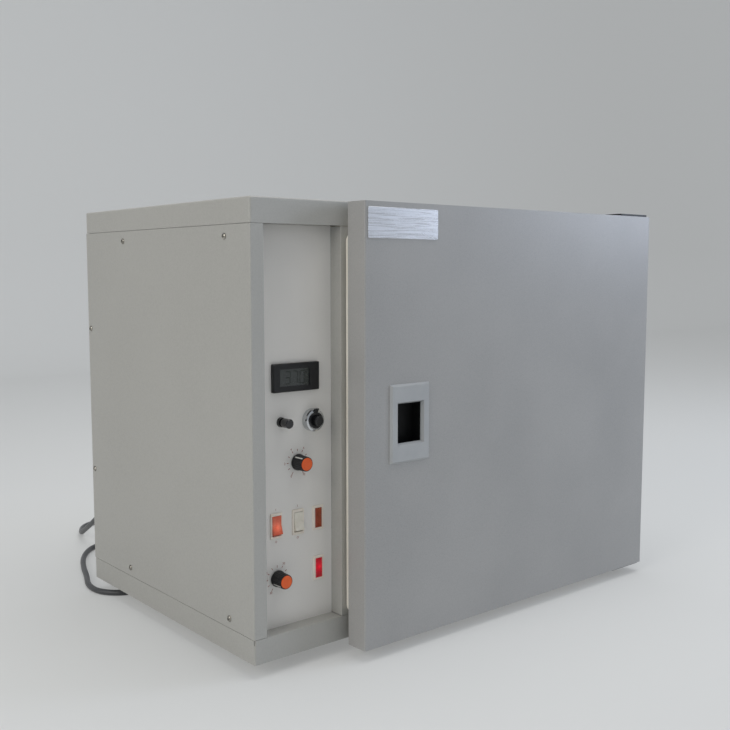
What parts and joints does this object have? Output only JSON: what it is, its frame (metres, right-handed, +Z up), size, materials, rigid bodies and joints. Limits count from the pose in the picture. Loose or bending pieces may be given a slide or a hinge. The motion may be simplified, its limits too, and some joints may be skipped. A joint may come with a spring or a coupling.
{
  "type": "hybridization oven",
  "caption": "Bench oven with an insulated chamber and a turning bottle reel behind a side-hung door, beside a narrow recessed control column with display, dial, knobs, rockers and lamps.",
  "frame": {"origin": "on the bench, under the middle of the oven's bounding box without its cord", "axes": "+X along the width to the hinge side, -Y out of the door at the front, +Z up"},
  "size_m": [0.5543, 0.6442, 0.4352],
  "materials": {
    "cabinet_paint": "satin",
    "door_paint": "satin",
    "fascia_paint": "satin",
    "zinc_steel": "satin",
    "stainless": "brushed",
    "spring_steel": "polished",
    "aluminium": "satin",
    "screw_steel": "satin",
    "black_bracket": "matt",
    "foot_rubber": "matt",
    "gasket_silicone": "matt",
    "mineral_wool": "matt",
    "bezel_black": "matt",
    "window_tint": "clear",
    "display_grey": "gloss",
    "switch_cream": "satin",
    "rocker_orange": "lit",
    "rocker_white": "satin",
    "lens_amber": "translucent",
    "lens_red": "lit",
    "knob_grey": "matt",
    "cap_orange": "satin",
    "dial_chrome": "polished",
    "dial_black": "gloss",
    "button_black": "gloss",
    "pull_plastic": "satin",
    "bush_plastic": "satin",
    "magnet_black": "matt",
    "heater_steel": "heat tinted",
    "board_green": "satin",
    "transformer_steel": "satin",
    "terminal_white": "satin",
    "cord_grey": "satin",
    "plug_grey": "satin"
  },
  "bodies": {
    "cabinet": {"base_tray": "cabinet_paint", "top_cover": "cabinet_paint", "left_side_panel": "cabinet_paint", "right_side_panel": "cabinet_paint", "rear_panel": "cabinet_paint", "cabinet_screws": "screw_steel", "feet": "foot_rubber", "chamber_front_frame": "cabinet_paint", "bulkhead": "zinc_steel", "chamber_liner": "stainless", "insulation": "mineral_wool", "chamber_rails": "zinc_steel", "fascia_panel": "fascia_paint", "display_bezel": "bezel_black", "display_window": "window_tint", "display_module": "display_grey", "switch_bodies": "switch_cream", "lamp_bodies": "switch_cream", "heat_lamp_lens": "lens_amber", "cutout_lamp_lens": "lens_red", "potentiometers": "zinc_steel", "cutout_thermostat": "bush_plastic", "dial_housing": "dial_chrome", "set_button_case": "button_black", "rotation_motor": "zinc_steel", "reel_bearings": "bush_plastic", "fan_motor": "zinc_steel", "heater_element": "heater_steel", "air_baffle": "stainless", "temperature_probe": "stainless", "control_board": "board_green", "mains_transformer": "transformer_steel", "terminal_block": "terminal_white", "hinge_brackets": "black_bracket", "catch_magnets": "magnet_black", "mains_gland": "plug_grey", "mains_cord_run": "cord_grey", "mains_cord_coil": "cord_grey", "mains_plug": "plug_grey"},
    "door": {"door_skin": "door_paint", "door_inner_panel": "stainless", "door_insulation": "mineral_wool", "door_gasket": "gasket_silicone", "door_pull": "pull_plastic", "hinge_bushes": "bush_plastic"},
    "reel": {"reel_axle": "stainless", "reel_end_discs": "aluminium", "reel_rails": "aluminium", "bottle_clips": "spring_steel", "clip_rivets": "aluminium"},
    "fan": {"fan_impeller": "aluminium"},
    "speed_knob": {"speed_knob": "knob_grey", "speed_knob_cap": "cap_orange"},
    "cutout_knob": {"cutout_knob": "knob_grey", "cutout_knob_cap": "cap_orange"},
    "dial_knob": {"dial_knob": "dial_black"},
    "dial_brake": {"dial_brake_lever": "dial_black"},
    "set_button": {"set_button": "button_black"},
    "power_rocker": {"power_switch_rocker": "rocker_orange"},
    "rotation_rocker": {"rotation_switch_rocker": "rocker_white"}
  },
  "joints": [
    {"name": "door_swing", "type": "hinge", "parent": "cabinet", "child": "door", "pos_m": [0.2644, -0.1724, 0.224], "axis": [0, 0, 1], "range_deg": [0, 160]},
    {"name": "reel_spin", "type": "hinge", "parent": "cabinet", "child": "reel", "pos_m": [0.0494, -0.0337, 0.224], "axis": [1, 0, 0], "continuous": true},
    {"name": "fan_spin", "type": "hinge", "parent": "cabinet", "child": "fan", "pos_m": [0.0494, 0.1023, 0.224], "axis": [0, 1, 0], "continuous": true},
    {"name": "speed_knob_turn", "type": "hinge", "parent": "cabinet", "child": "speed_knob", "pos_m": [-0.2101, -0.1417, 0.191], "axis": [0, 1, 0], "range_deg": [-111, 189]},
    {"name": "cutout_knob_turn", "type": "hinge", "parent": "cabinet", "child": "cutout_knob", "pos_m": [-0.2342, -0.1417, 0.084], "axis": [0, 1, 0], "range_deg": [-30, 240]},
    {"name": "dial_turn", "type": "hinge", "parent": "cabinet", "child": "dial_knob", "pos_m": [-0.1936, -0.1417, 0.2295], "axis": [0, 1, 0], "range_deg": [-1332, 2268]},
    {"name": "dial_brake", "type": "hinge", "parent": "cabinet", "child": "dial_brake", "pos_m": [-0.1936, -0.1413, 0.2295], "axis": [0, 1, 0], "range_deg": [0, 20]},
    {"name": "set_button_press", "type": "slide", "parent": "cabinet", "child": "set_button", "axis": [0, 1, 0], "range_m": [0, 0.0023], "stiffness_N_per_m": 300, "springref_m": -0.002},
    {"name": "power_rocker", "type": "hinge", "parent": "cabinet", "child": "power_rocker", "pos_m": [-0.2352, -0.1318, 0.134], "axis": [1, 0, 0], "range_deg": [0, 18]},
    {"name": "rotation_rocker", "type": "hinge", "parent": "cabinet", "child": "rotation_rocker", "pos_m": [-0.2104, -0.1318, 0.134], "axis": [1, 0, 0], "range_deg": [0, 18]}
  ]
}
